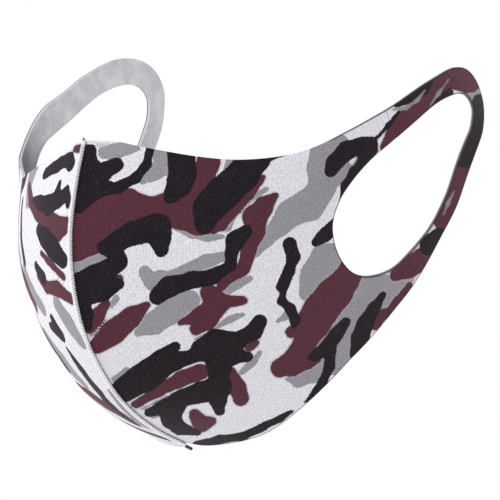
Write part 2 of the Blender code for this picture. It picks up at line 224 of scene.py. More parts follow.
def column_shares():
    """Shares of the way back from the seam, closest together at the seam."""
    angles = np.radians(np.linspace(COLUMN_START_ANGLE, 90, COLUMN_COUNT))
    spread = (math.cos(angles[0]) - np.cos(angles)) / math.cos(angles[0])
    return np.concatenate([[0.0], FIRST_COLUMN + (1 - FIRST_COLUMN) * spread])


def panel_grid():
    """Side-view points of a panel, rows from top to bottom and columns from seam to rear."""
    across = np.linspace(0, 1, CUT_CELLS + 1)[:, None]
    upper_cut = np.array(LOOP_OUTER_EDGE[0]) * (1 - across) + np.array(LOOP_INNER_EDGE[0]) * across
    lower_cut = np.array(LOOP_INNER_EDGE[-1]) * (1 - across) + np.array(LOOP_OUTER_EDGE[-1]) * across
    hole = smooth_line(HOLE_FRONT, np.linspace(0, 1, HOLE_CELLS + 1))
    rear = np.vstack([upper_cut, hole[1:-1], lower_cut])[:, None]
    rows, columns = row_shares()[:, None, None], column_shares()[None, :, None]
    seam = smooth_line(SEAM_LINE, row_shares())[:, None]
    top = smooth_line(TOP_EDGE, column_shares())[None]
    bottom = smooth_line(BOTTOM_EDGE, column_shares())[None]
    corners = (
        (1 - rows) * ((1 - columns) * seam[0] + columns * rear[0])
        + rows * ((1 - columns) * seam[-1] + columns * rear[-1])
    )
    return (1 - columns) * seam + columns * rear + (1 - rows) * top + rows * bottom - corners


def loop_grid():
    """Side-view points of a loop, from its outer to its inner edge and from upper to lower root."""
    shares = np.linspace(0, 1, LOOP_CELLS + 1)
    outer = smooth_line(LOOP_OUTER_EDGE, shares)[None]
    inner = smooth_line(LOOP_INNER_EDGE, shares)[None]
    across = np.linspace(0, 1, CUT_CELLS + 1)[:, None, None]
    return outer * (1 - across) + inner * across


def cloth_points(grid, side):
    """The side-view grid as points of the printed face, in millimetres."""
    points = np.empty(grid.shape[:-1] + (3,))
    points[..., 0] = side * half_width(grid)
    points[..., 1:] = grid
    if side < 0:
        depth, height = grid[..., 0], grid[..., 1]
        lift = smoothstep((depth - RIGHT_LIFT_START) / RIGHT_LIFT_FADE)
        lift *= smoothstep((height - RIGHT_LIFT_FLOOR) / -RIGHT_LIFT_FLOOR)
        fullness = smoothstep((depth - RIGHT_BACK_START) / RIGHT_BACK_FADE)
        fullness *= np.exp(-(((height - RIGHT_BACK_HEIGHT) / RIGHT_BACK_SPREAD) ** 2))
        dip = smoothstep(points[..., 0] / -RIGHT_DIP_WIDTH)
        dip *= smoothstep((height - RIGHT_DIP_FLOOR) / -RIGHT_DIP_FLOOR)
        dip *= 1 - smoothstep((depth - RIGHT_DIP_END) / RIGHT_DIP_FADE)
        bulge = smoothstep((depth - RIGHT_BULGE_START) / RIGHT_BULGE_FADE)
        bulge *= 1 - smoothstep((depth - RIGHT_BULGE_END) / RIGHT_BULGE_RELEASE)
        bulge *= smoothstep((height - RIGHT_BULGE_FLOOR) / -RIGHT_BULGE_FLOOR)
        points[..., 0] -= RIGHT_BULGE * bulge
        points[..., 1] += RIGHT_BACK * fullness
        points[..., 2] += RIGHT_LIFT * lift - RIGHT_DIP * dip
    return points


def outward_normals(points, side):
    """Unit normals of a grid of points, away from the face."""
    normals = np.cross(np.gradient(points, axis=0), np.gradient(points, axis=1)) * side
    return normals / np.linalg.norm(normals, axis=2, keepdims=True)


# ---------------------------------------------------------------- the print

# Strokes of the camouflage, (across, up, radius) in millimetres as the print is laid on the cloth.
BLACK_STROKES = [
    [(1.5, -4, 3), (0, -12, 5), (2, -17, 5.5), (-3, -24, 4)],
    [(2.5, -14, 4.6), (7, -11.8, 3.1), (12, -9, 2.8)],
    [(2, -19, 3.5), (12, -18.2, 2), (19, -14.4, 1.9), (23.4, -9, 1.7), (24.7, -3, 1.6)],
    [(7, -41, 2.6), (13, -38, 3.6), (19, -35, 4.6), (27, -33, 5.2)],
    [(27.5, -32.5, 4.8), (28.5, -37, 4.2), (29, -41.5, 2.8)],
    [(10, -40, 3.4), (13, -46, 3.2), (4, -52, 4.6), (-3, -55, 4.5)],
    [(-2, -58, 5), (6, -57, 4.2), (13, -54.5, 2)],
    [(-3, -60, 4), (0, -66, 3), (1, -71, 1.6)],
    [(36.5, -4, 5.6), (37, -12, 5.2), (35.5, -17, 4.6), (33, -20.5, 3.2), (31.4, -22.4, 1.6)],
    [(66, -8, 4), (60, -13, 6), (53, -19.5, 6.6), (47, -26, 6), (45.5, -31.5, 4)],
    [(76, -4.5, 1.1), (68, -6, 2.2), (60, -7, 3.4)],
    [(61, -34.5, 2.7), (57, -38, 3.4), (55.4, -43, 2.4), (55.5, -47.5, 2), (48, -51.7, 2.8)],
    [(48, -52, 3), (40, -53.2, 3.1), (32, -55.6, 3.8), (27.3, -59.3, 3.2)],
    [(77.8, -39.5, 2.8), (79, -44, 2.5), (77, -50, 1.8), (74.2, -55.8, 1.9)],
    [(78, -50, 1.5), (75.6, -56, 1.1), (74.6, -61, 1.6), (78, -64, 2), (79.8, -68.5, 1.9), (79.6, -71, 1)],
    [(95, -32, 2.6), (91, -36, 2.6), (87.4, -38.8, 1.6)],
    [(93.2, -11.6, 2.3), (95, -8, 3), (99, -4, 3.6), (104, -2, 3), (108.6, -1, 2.6)],
    [(109, -3, 2.6), (107, -8, 3), (102.8, -12.5, 2.8), (99.8, -17.5, 2.4), (97.6, -23, 1.2)],
    [(99, -69, 1.8), (95.6, -74, 2.6), (91.6, -79, 2.6), (88, -81.8, 2), (85.8, -82.4, 1.3)],
    [(93.2, -80, 2.4), (93, -86, 1.9), (90.6, -92, 1.6), (87, -96.6, 1.2), (83.6, -99.6, 0.8)],
    [(113.4, -58.6, 1.2), (110, -63.8, 2.3), (106.8, -69.5, 2.9), (104.6, -75.5, 3.2), (102.4, -81.4, 2)],
    [(66.2, -68.8, 2.8), (63.5, -73, 3.2), (58, -76, 3.2), (50, -76, 4.4), (44, -79.5, 4)],
    [(49, -79, 5.6), (51, -86, 4.4), (50.5, -92, 3.6)],
    [(55, -83, 3), (61.8, -82, 2.1)],
    [(34.4, -78, 1.8), (28, -83, 3), (20, -88.8, 3.4), (13, -94, 3)],
    [(44, -81, 2.6), (34, -84, 3.2), (24, -91, 4), (15, -96.5, 3)],
    [(51, -94, 4.6), (44, -95.8, 4), (36, -98.4, 3.2), (29, -101.4, 2.4), (24, -103.6, 1.6)],
    [(50, -96, 4.6), (51, -102.8, 2.2)],
    [(36, -101.5, 2.2), (32.5, -106, 3.8), (35.5, -109.5, 2.8), (43, -111.4, 1)],
    [
        (42, -116, 1.4), (50, -114.2, 1.7), (60, -112.8, 1.6),
        (68, -109, 1.5), (74, -106, 1.2), (79, -103, 0.8),
    ],
    [(118.5, 14, 1.2), (124, 17, 2.6), (129, 20.6, 2.4), (132, 23.6, 1.2)],
    [(131, 10.6, 1.4), (135, 15, 1.8), (139, 18.6, 1.6)],
    [(151.5, 14.5, 4), (150.5, 8, 4), (147.5, 0, 4.2), (144.6, -6, 4.2)],
    [(134.5, -37, 3.8), (131, -40, 3.8)],
    [(111.4, 1.6, 0.6), (115.4, 6, 0.6), (119.4, 11, 0.6)],
]
BURGUNDY_STROKES = [
    [(-3, -30, 6), (5, -26, 5), (12, -23, 4)],
    [(-5, -37.5, 8.6), (2, -35, 8.4), (10, -28, 6.6), (17, -23, 4.8)],
    [(4.4, -1.8, 0.3), (8.6, -1.8, 0.4)],
    [(17, -25, 6), (28, -26, 4), (36, -29, 4.6), (43, -31, 5), (48.5, -33.5, 2.2)],
    [(28, -24, 3.4), (37, -22, 4.6), (44, -16, 4.8), (46.8, -8, 4.6)],
    [(44, -20, 4), (40, -27, 4)],
    [(67.3, -14, 1.4), (62, -21, 1.8), (56, -26.5, 2.4), (51.5, -32.5, 2.2)],
    [(72, -21, 1.6), (68, -25, 3.6), (64.5, -29, 4.6), (64.5, -35, 3.6), (62, -42, 2.8), (60.6, -48, 2.8)],
    [(60, -49, 2.4), (54, -52.4, 2), (52, -55, 2)],
    [(47, -58, 3.4), (50, -62, 4.4), (46, -67.5, 4.4), (42, -71.6, 2.6)],
    [(50, -61.5, 3), (59.8, -60.8, 1.8)],
    [(44, -66, 3.4), (36, -69.3, 1)],
    [(13, -52.4, 1.6), (10, -54.4, 1)],
    [(8, -62, 1.8), (4.4, -67, 2.8), (1.5, -71.5, 2)],
    [(23.8, -62.4, 1.2), (17.5, -67, 4), (11, -72.6, 4.6), (4.5, -78, 3.2)],
    [(43.8, -88, 3.2), (36, -90.8, 2.9), (27, -95.6, 2.2), (19, -100.6, 1.6)],
    [(54.6, -88.6, 3), (57.6, -94, 3.3), (59.2, -98, 3)],
    [(64.4, -77, 1.8), (62.4, -79, 1.6)],
    [(41.6, -104.6, 2.4), (44, -108, 3), (48, -106.8, 1.8)],
    [
        (101.5, -49, 5), (99, -53, 5), (95, -58, 6.4), (90, -64, 6.6),
        (86.4, -70, 6.2), (83.6, -77, 4.2), (79.5, -83, 4), (74, -86.6, 3.6),
    ],
    [(78, -86.6, 3.4), (84, -84, 3), (88, -83, 2)],
    [(78.6, -73, 2.4), (82, -71, 2)],
    [(118.4, -51, 2.4), (123, -48.6, 4), (129, -44.6, 4.2)],
    [(113.4, -66, 2), (110.6, -70.4, 1.8)],
    [(123.6, -55, 1.2), (119, -61, 1.6), (115.4, -66.5, 1.3)],
    [(113.6, -2.4, 1.4), (118, 3, 3.2), (123, 8.4, 3.8), (127, 13, 3.6), (130, 18, 3.4), (134, 22, 4.4)],
    [(138, 24.6, 4), (142, 25, 5), (146.6, 23.6, 5)],
    [(144, -12, 4.2), (140.5, -19, 4.2), (137.4, -27, 4.2), (136.4, -30, 4)],
]
GREY_STROKES = [
    [(7, -4.4, 2.4), (11, -4.4, 3), (16, -2.8, 2.6), (20.5, -3, 0.8)],
    [(28, -5, 3), (30.6, -9, 3.8), (26, -12.6, 2.8), (21, -16, 0.9)],
    [(56, -8, 2.6), (53.6, -12, 1.4)],
    [(68.8, -18.4, 1), (62, -23, 1.2), (56, -28.4, 1.4), (54, -33, 1.7)],
    [(34, -33, 0.9), (40, -36, 1), (46.5, -36.6, 1.8), (52, -36.6, 1)],
    [(90, -3, 4.6), (89, -10, 4.6), (90, -18, 5), (85, -24.6, 6), (77.5, -28, 5.2), (73.6, -33, 3.6)],
    [(74, -32, 3.6), (69, -37.6, 2.6), (64.4, -43.6, 1.4)],
    [(96, -1, 4), (95, -12, 5), (99, -11, 3)],
    [(96, -42, 3.6), (91.6, -45, 6), (87, -52, 5.6), (84, -58, 3)],
    [(22.6, -50, 2.6), (25.4, -54.2, 2.8), (28.6, -51.4, 2.4)],
    [(30, -51.4, 1.2), (38, -49, 1.8), (46, -46, 2.6), (53, -43.8, 2)],
    [(62.6, -52.4, 1.4), (58, -54.6, 1.6), (53.6, -57.4, 1.6)],
    [(40, -60.5, 3.8), (33, -64.5, 4.8), (26, -69.6, 4.2), (20, -73, 1.6)],
    [(-5, -48.6, 1.6), (0, -46.4, 2.2), (5, -44.8, 2.2), (8.6, -46.6, 1.2)],
    [(12, -60, 1.4), (9.4, -64, 0.9)],
    [(2, -74, 0.9), (9, -69.6, 0.9)],
    [(60, -66, 1), (55, -68, 1.4), (50, -71, 1)],
    [(47, -73.4, 0.9), (42, -75.6, 0.7)],
    [(66.4, -80.4, 0.9), (63.6, -84.6, 1.4), (59.6, -88, 1.4)],
    [(77.4, -66, 2), (73, -68.8, 0.8)],
    [(16, -87.5, 1.4), (11, -91, 1)],
    [(32.6, -102, 0.8), (29, -102.8, 1.2), (25.6, -104.8, 1.2)],
    [(44, -93, 0.8), (36, -95.6, 0.9), (27, -99.6, 0.8), (21, -102.4, 0.5)],
    [(91, -84.5, 2.4), (87, -88.6, 3.4), (81, -90.8, 3), (76.6, -90.8, 1)],
    [(104, -56, 4), (100, -63, 4.6), (95, -71, 3.4), (89, -78, 2)],
    [(107, -59, 4), (103, -67, 4), (99.6, -76, 4.4), (95.6, -86, 3.6)],
    [(107, -55, 3.4), (114, -54.6, 3.4), (120, -57, 3)],
    [(115, -60, 4), (111, -66, 3.6)],
    [(147.4, 18.6, 2.6), (151.4, 19, 3)],
    [(140.6, -19.4, 0.9), (136.6, -26, 0.7)],
    [(124, -52.6, 1.6), (120.6, -53.6, 1.6)],
]
# Pale slivers laid over the other colours on the loop.
SLIVER_STROKES = [
    [(117.4, 12, 0.4), (122, 12.6, 0.6), (126.4, 15.4, 0.5), (130, 20, 0.1)],
    [(131.4, 13.4, 0.1), (134.6, 18, 0.5), (138.6, 23.6, 0.2)],
    [(141, -18.6, 0.3), (138.4, -24, 0.6), (136.6, -28, 0.2)],
    [(101.6, -9.6, 0.3), (103.2, -6.6, 0.3)],
]
# Strokes that only the wearer's right side has near the seam; behind them it repeats the left's.
RIGHT_BLACK_STROKES = [
    [(4, -9, 2.4), (7, -6.4, 2.8), (14, -8, 3), (23, -10.6, 2.4)],
    [(-1, -23.5, 2.4), (3, -18, 1.6), (6, -21.4, 3.6), (14, -23, 3.8), (22, -21.6, 2.8), (30, -20, 1.6)],
    [(9, -15, 1.2), (9.6, -21, 3)],
    [(21, -32, 2.4), (15, -35.5, 4), (8, -40, 4.4), (1, -45, 3.4)],
    [(25, -45.5, 2), (19, -50.6, 2.8)],
    [(49, -19, 1.6), (47, -31, 2.2), (41, -43, 2.2)],
    [(46, -4, 2), (52, -10, 4), (58, -14, 3)],
    [(54, -64, 3), (47, -72, 4), (40, -84, 2.6)],
    [(60, -82, 3.4), (68, -76, 3), (72, -68, 2)],
    [(20.6, -66, 2), (19.6, -72, 3), (26, -69, 1.8)],
    [(21, -78, 1.2), (21, -86, 2.4), (23, -93, 2.6), (27, -99, 2), (32, -104, 1.4)],
    [(52, -103, 2), (46, -108, 2.6), (42, -112, 2.8)],
    [(14, -104, 0.7), (20, -106, 1.2), (26, -110, 0.9)],
]
RIGHT_BURGUNDY_STROKES = [
    [(52, -46, 3), (47, -53, 4), (41, -60, 3)],
    [(50, -64, 2.4), (56, -74, 3.6), (55, -84, 2.4)],
    [(58, -4, 3), (62, -16, 4.6), (60, -26, 3)],
    [(-1, -3, 2), (5, -2.6, 1.6)],
    [(-3, -32, 3), (5, -33, 5), (14, -28.6, 3.8), (24, -25, 3), (34, -20, 2.4), (40, -14, 1.8)],
    [(18, -41, 1.2), (9, -46.5, 1.4), (2, -51.5, 1.6)],
    [(24, -49.5, 1.8), (18, -54, 2.6), (8, -55.6, 3), (0, -60, 2.2)],
    [(42, -92, 2.6), (36, -97, 4.6), (32, -102, 4), (34, -106, 2.4)],
]
RIGHT_GREY_STROKES = [
    [(34, -5, 3), (40, -12, 4), (38, -20, 3)],
    [(60, -32, 3), (55, -42, 4.6), (58, -56, 3)],
    [(70, -24, 4), (66, -34, 4.6)],
    [(50, -92, 3), (60, -94, 4), (70, -88, 3)],
    [(44, -46, 3), (36, -56, 4), (28, -62, 3)],
    [(12, -61, 3), (8, -68, 4), (6, -76, 3)],
    [(42, -72, 4), (36, -82, 5.4), (32, -90, 3.4)],
    [(14, -97, 3), (20, -103, 3), (30, -110, 3)],
]
RIGHT_REPEAT_FROM = 58.0
PRINT_BLEND = 0.45
PRINT_REACH = 6.0
# A white margin beside the lower seam on the right side.
MARGIN_START, MARGIN_FADE, MARGIN_SHARE = -15, 8, 0.3
MARGIN_WIDTH, MARGIN_LIMIT = 2.6, 1.5
# The cut edge's dark rim is painted shade along the cut: none in the seam zone, and fading out in front of
# the cheek.
SEAM_ZONE = 2.0
RIM_CLEAR, RIM_CLEAR_DEPTH, RIM_CLEAR_FADE = 3.0, 45, 20
RIGHT_RIM_CLEAR = 1.0
# Painted shadow: the lining is painted darker where the right loop starts, standing in for the shade there.
SHADE_CENTRE = (66.0, -4.0)
SHADE_REACH = 17.0


def print_coordinates(points):
    """Where each point lies on the print, mirrored for the right side, in millimetres."""
    width, depth, height = np.abs(points[..., 0]), points[..., 1], points[..., 2]
    across = width * math.cos(PRINT_AZIMUTH) + depth * math.sin(PRINT_AZIMUTH)
    up = height * math.cos(PRINT_TILT) - width * math.sin(PRINT_AZIMUTH) * math.sin(PRINT_TILT)
    up += depth * math.cos(PRINT_AZIMUTH) * math.sin(PRINT_TILT)
    return np.stack([across, up], axis=-1)


def stroke_distance(places, strokes):
    """Signed distance to the nearest stroke, with neighbours melting together."""
    total = np.zeros(len(places))
    for stroke in strokes:
        ends = stroke if len(stroke) > 1 else stroke * 2
        for (ax, ay, ar), (bx, by, br) in zip(ends, ends[1:]):
            run = np.array([bx - ax, by - ay], float)
            offset = places - np.array([ax, ay])
            along = np.clip(offset @ run / max(run @ run, 1e-9), 0, 1)
            distance = np.linalg.norm(offset - along[:, None] * run, axis=1)
            distance -= ar + (br - ar) * along
            total += np.exp(-np.clip(distance, -PRINT_REACH, PRINT_REACH * 3) / PRINT_BLEND)
    return np.clip(-PRINT_BLEND * np.log(np.maximum(total, 1e-9)), -PRINT_REACH, PRINT_REACH)


def strokes_for(side, left, right):
    """A side's strokes of one colour: the right side has its own near the seam."""
    if side > 0:
        return left
    return right + [s for s in left if s[0][0] > RIGHT_REPEAT_FROM and s[-1][0] > RIGHT_REPEAT_FROM]


def seam_margin(field, places, front):
    """A print field kept clear of the lower seam."""
    below = smoothstep((MARGIN_START - places[:, 1]) / MARGIN_FADE)
    clear = below * np.maximum(MARGIN_WIDTH - np.tile(np.abs(front[:, 0]), 2), -MARGIN_LIMIT)
    return np.where(below > MARGIN_SHARE, np.maximum(field, clear), field)


# ---------------------------------------------------------------- materials

PRINT_NAME = "camouflage_print"
PRINT_GROUND = (0.67, 0.66, 0.705)
GREY_INK = (0.27, 0.26, 0.29)
FRINGE_INK = (0.36, 0.34, 0.37)
BURGUNDY_INK = (0.080, 0.021, 0.034)
BLACK_INK = (0.010, 0.0065, 0.010)
SLIVER_INK = (0.24, 0.23, 0.25)
FLECK_COLOUR = (0.42, 0.36, 0.40)
# Painted shade along the cut edges.
RIM_SHADE_COLOUR = (0.022, 0.017, 0.021)
LINING_DARK, LINING_LIGHT = (0.46, 0.47, 0.49), (0.66, 0.665, 0.69)
# Painted shadow colour for the lining where the right loop starts.
LINING_PAINTED_SHADOW = (0.07, 0.07, 0.075)
FOAM_DARK, FOAM_LIGHT = (0.40, 0.40, 0.41), (0.56, 0.56, 0.57)
LOOPER_DARK, LOOPER_LIGHT = (0.84, 0.83, 0.86), (0.95, 0.94, 0.97)
NEEDLE_DARK, NEEDLE_LIGHT = (0.010, 0.008, 0.010), (0.05, 0.04, 0.05)
SHEEN_TINT = (1.0, 0.82, 0.96, 1.0)

# Noise scales, in cells to a metre.
INK_RAGGED, INK_BROAD, FLECKS, GRAIN = 1500.0, 160.0, 1700.0, 1900.0
FUZZ, MOTTLE, FOAM_CELLS = 2600.0, 130.0, 3200.0
# Millimetres: the inks' edges, the knit's stitches, the relief of cloth, foam and thread, and a ply's pitch.
INK_EDGE, FRINGE_EDGE, FRINGE_WIDTH, SLIVER_EDGE = 0.16, 0.2, 0.45, 0.3
PRINT_STITCH, LINING_STITCH = (0.9, 0.75), (1.0, 0.8)
CLOTH_RELIEF, FOAM_RELIEF, PLY_RELIEF, PLY_PITCH = 0.10, 0.1, 0.05, 0.35
FULL_TURN = 6.2832


def new_material(name, roughness):
    """A named material, its node tree and its shader."""
    material = bpy.data.materials.new(name)
    material.use_nodes = True
    tree = material.node_tree
    shader = tree.nodes["Principled BSDF"]
    shader.inputs["Roughness"].default_value = roughness
    return material, tree, shader


def add_node(tree, kind, inputs=(), **settings):
    """Adds a node; inputs maps a socket's name or number to a value or to another node's output."""
    node = tree.nodes.new(kind)
    for key, value in settings.items():
        setattr(node, key, value)
    for key, value in dict(inputs).items():
        if isinstance(value, bpy.types.NodeSocket):
            tree.links.new(value, node.inputs[key])
        else:
            node.inputs[key].default_value = value
    return node


def math_node(tree, operation, *values):
    """The result of one sum on values, which are numbers or other nodes' outputs."""
    return add_node(tree, "ShaderNodeMath", enumerate(values), operation=operation).outputs[0]


def mix_colour(tree, factor, first, second, blend="MIX"):
    """The first colour at factor 0 and the second at factor 1."""
    node = tree.nodes.new("ShaderNodeMix")
    node.data_type, node.blend_type = "RGBA", blend
    for key, value in ((0, factor), (6, first), (7, second)):
        if isinstance(value, bpy.types.NodeSocket):
            tree.links.new(value, node.inputs[key])
        else:
            node.inputs[key].default_value = value if key == 0 else (*value, 1.0)
    return node.outputs[2]


def ramp(tree, value, start, end, low=0.0, high=1.0, shape="LINEAR"):
    """low up to start, high from end on, and a ramp between."""
    sockets = {0: value, 1: start, 2: end, 3: low, 4: high}
    return add_node(tree, "ShaderNodeMapRange", sockets, interpolation_type=shape).outputs[0]


def stored(tree, attribute):
    """A value that the mesh stores at its points."""
    return add_node(tree, "ShaderNodeAttribute", attribute_name=attribute).outputs["Fac"]


def shaded(tree, colour, shade):
    """The colour multiplied by a grey shade."""
    grey = add_node(tree, "ShaderNodeCombineColor", {0: shade, 1: shade, 2: shade}).outputs[0]
    return mix_colour(tree, 1.0, colour, grey, "MULTIPLY")


def wave(tree, turns, swing, level):
    """level, and a sine of height swing about it, one wave to each turn."""
    sine = math_node(tree, "SINE", math_node(tree, "MULTIPLY", turns, FULL_TURN))
    return math_node(tree, "MULTIPLY_ADD", sine, swing, level)


def cloth_place(tree):
    """Distance across and along the cloth, in metres."""
    cloth = add_node(tree, "ShaderNodeUVMap", uv_map="cloth").outputs[0]
    return add_node(tree, "ShaderNodeSeparateXYZ", {0: cloth}).outputs


def painted_rim_shade(tree, colour, start, end, strength):
    """The colour darkened by painted shade at the cut edge, fading out from start to end millimetres inward.
    """
    rim = ramp(tree, stored(tree, "edge_distance"), start, end, strength, 0.0)
    return mix_colour(tree, rim, colour, RIM_SHADE_COLOUR)


def knit_height(tree, wale, course):
    """Height of a plain knit: rows of V-shaped stitches, wale wide and course tall, millimetres."""
    split = cloth_place(tree)
    column = math_node(tree, "DIVIDE", split[0], wale * MM)
    place = math_node(tree, "SUBTRACT", math_node(tree, "FRACT", column), 0.5)
    off = math_node(tree, "ABSOLUTE", place)
    row = math_node(tree, "ADD", math_node(tree, "DIVIDE", split[1], course * MM), off)
    loop = wave(tree, row, 0.25, 0.75)
    rib = math_node(tree, "POWER", math_node(tree, "MULTIPLY", off, 2.0), 2.0)
    return math_node(tree, "MULTIPLY", math_node(tree, "SUBTRACT", 1.0, rib), loop)


def noise(tree, scale, detail=2.0, roughness=0.5):
    """Noise through the object's own space, scale cells to a metre."""
    place = add_node(tree, "ShaderNodeTexCoord").outputs["Object"]
    sockets = {"Vector": place, "Scale": scale, "Detail": detail, "Roughness": roughness}
    return add_node(tree, "ShaderNodeTexNoise", sockets).outputs[0]


def raise_surface(tree, shader, height, strength, relief):
    """Bumps the shader's surface by height, relief millimetres tall."""
    bump = add_node(tree, "ShaderNodeBump", {"Strength": strength, "Distance": relief * MM, "Height": height})
    tree.links.new(bump.outputs[0], shader.inputs["Normal"])


def cloth_finish(tree, shader, colour, height, sheen):
    """Wires colour and knit relief into a cloth shader."""
    fuzz = noise(tree, FUZZ, 2.0, 0.6)
    relief = math_node(tree, "ADD", height, math_node(tree, "MULTIPLY", fuzz, 0.8))
    raise_surface(tree, shader, relief, 0.8, CLOTH_RELIEF)
    tree.links.new(colour, shader.inputs["Base Color"])
    shader.inputs["Sheen Weight"].default_value = sheen
    shader.inputs["Sheen Roughness"].default_value = 0.35
    shader.inputs["Sheen Tint"].default_value = SHEEN_TINT
    shader.inputs["Specular IOR Level"].default_value = 0.12


def print_mask(tree, attribute, warp, edge):
    """1 inside the strokes stored as attribute, with a slightly bled edge."""
    moved = math_node(tree, "ADD", stored(tree, attribute), warp)
    return ramp(tree, moved, edge, -edge, shape="SMOOTHSTEP")


def printed_knit():
    """White knit under grey, burgundy and black inks, with pale weave flecks and painted shade darkening the
    cut edge.
    """
    material, tree, shader = new_material(PRINT_NAME, 0.82)
    ragged = math_node(tree, "MULTIPLY_ADD", noise(tree, INK_RAGGED), 0.5, -0.25)
    broad = math_node(tree, "MULTIPLY_ADD", noise(tree, INK_BROAD), 1.4, -0.7)
    warp = math_node(tree, "ADD", ragged, broad)
    fringe = print_mask(tree, "print_burgundy", math_node(tree, "SUBTRACT", warp, FRINGE_WIDTH), FRINGE_EDGE)
    colour = mix_colour(tree, print_mask(tree, "print_grey", warp, INK_EDGE), PRINT_GROUND, GREY_INK)
    colour = mix_colour(tree, math_node(tree, "MULTIPLY", fringe, 0.55), colour, FRINGE_INK)
    colour = mix_colour(tree, print_mask(tree, "print_burgundy", warp, INK_EDGE), colour, BURGUNDY_INK)
    colour = mix_colour(tree, print_mask(tree, "print_black", warp, INK_EDGE), colour, BLACK_INK)
    colour = mix_colour(tree, print_mask(tree, "print_sliver", warp, SLIVER_EDGE), colour, SLIVER_INK)
    colour = painted_rim_shade(tree, colour, 0.25, 0.65, 0.85)
    fleck = ramp(tree, noise(tree, FLECKS, 1.0, 0.4), 0.5, 0.9, 0.0, 0.07)
    colour = mix_colour(tree, fleck, colour, FLECK_COLOUR)
    height = knit_height(tree, *PRINT_STITCH)
    grain = math_node(tree, "MULTIPLY", noise(tree, GRAIN, 1.0), 0.9)
    shade = math_node(tree, "ADD", math_node(tree, "MULTIPLY", height, 0.34), grain)
    shade = math_node(tree, "ADD", shade, 0.36)
    cloth_finish(tree, shader, shaded(tree, colour, shade), height, 0.16)
    return material


def lining_knit():
    """Mottled grey knit, with a painted shadow darkening it where the right side's loop starts."""
    material, tree, shader = new_material("lining_cloth", 0.9)
    mottle = ramp(tree, noise(tree, MOTTLE, 4.0, 0.62), 0.3, 0.7)
    colour = mix_colour(tree, mottle, LINING_DARK, LINING_LIGHT)
    # Painted shadow: darkens the lining where the right loop starts.
    depth = math_node(tree, "MULTIPLY", stored(tree, "painted_shadow_inside"), 0.92)
    colour = mix_colour(tree, depth, colour, LINING_PAINTED_SHADOW)
    height = knit_height(tree, *LINING_STITCH)
    shade = math_node(tree, "MULTIPLY_ADD", height, 0.14, 0.88)
    cloth_finish(tree, shader, shaded(tree, colour, shade), height, 0.15)
    return material


def foam():
    """Open foam cells, darkened at the cut edge by painted shade."""
    material, tree, shader = new_material("foam_cells", 0.95)
    place = add_node(tree, "ShaderNodeTexCoord").outputs["Object"]
    cells = add_node(tree, "ShaderNodeTexVoronoi", {"Vector": place, "Scale": FOAM_CELLS}).outputs[0]
    colour = painted_rim_shade(tree, mix_colour(tree, cells, FOAM_DARK, FOAM_LIGHT), 0.1, 0.6, 0.8)
    tree.links.new(colour, shader.inputs["Base Color"])
    raise_surface(tree, shader, cells, 0.6, FOAM_RELIEF)
    return material


def thread(name, dark, light):
    """Twisted thread: fine slanted plies along its length."""
    material, tree, shader = new_material(name, 0.55)
    split = cloth_place(tree)
    slant = math_node(tree, "ADD", math_node(tree, "DIVIDE", split[1], PLY_PITCH * MM), split[0])
    ply = wave(tree, slant, 0.5, 0.5)
    tree.links.new(mix_colour(tree, ply, dark, light), shader.inputs["Base Color"])
    raise_surface(tree, shader, ply, 0.5, PLY_RELIEF)
    shader.inputs["Sheen Weight"].default_value = 0.2
    return material


# ---------------------------------------------------------------- meshes

def make_object(name, vertices, faces, uvs, material, attributes=()):
    """A smooth mesh object from millimetre points, with its cloth coordinates and print fields."""
    mesh = bpy.data.meshes.new(name)
    mesh.from_pydata([tuple(v) for v in vertices * MM], [], faces)
    layer = mesh.uv_layers.new(name="cloth")
    corner = np.empty(len(mesh.loops), np.int32)
    mesh.loops.foreach_get("vertex_index", corner)
    layer.data.foreach_set("uv", (uvs[corner] * MM).astype(np.float32).ravel())
    for key, values in dict(attributes).items():
        field = mesh.attributes.new(key, "FLOAT", "POINT")
        field.data.foreach_set("value", values.astype(np.float32))
    body = bmesh.new()
    body.from_mesh(mesh)
    bmesh.ops.recalc_face_normals(body, faces=body.faces)
    body.to_mesh(mesh)
    body.free()
    mesh.shade_smooth()
    mesh.set_sharp_from_angle(angle=SHARP_ANGLE)
    mesh.materials.append(material)
    thing = bpy.data.objects.new(name, mesh)
    bpy.context.scene.collection.objects.link(thing)
    return thing


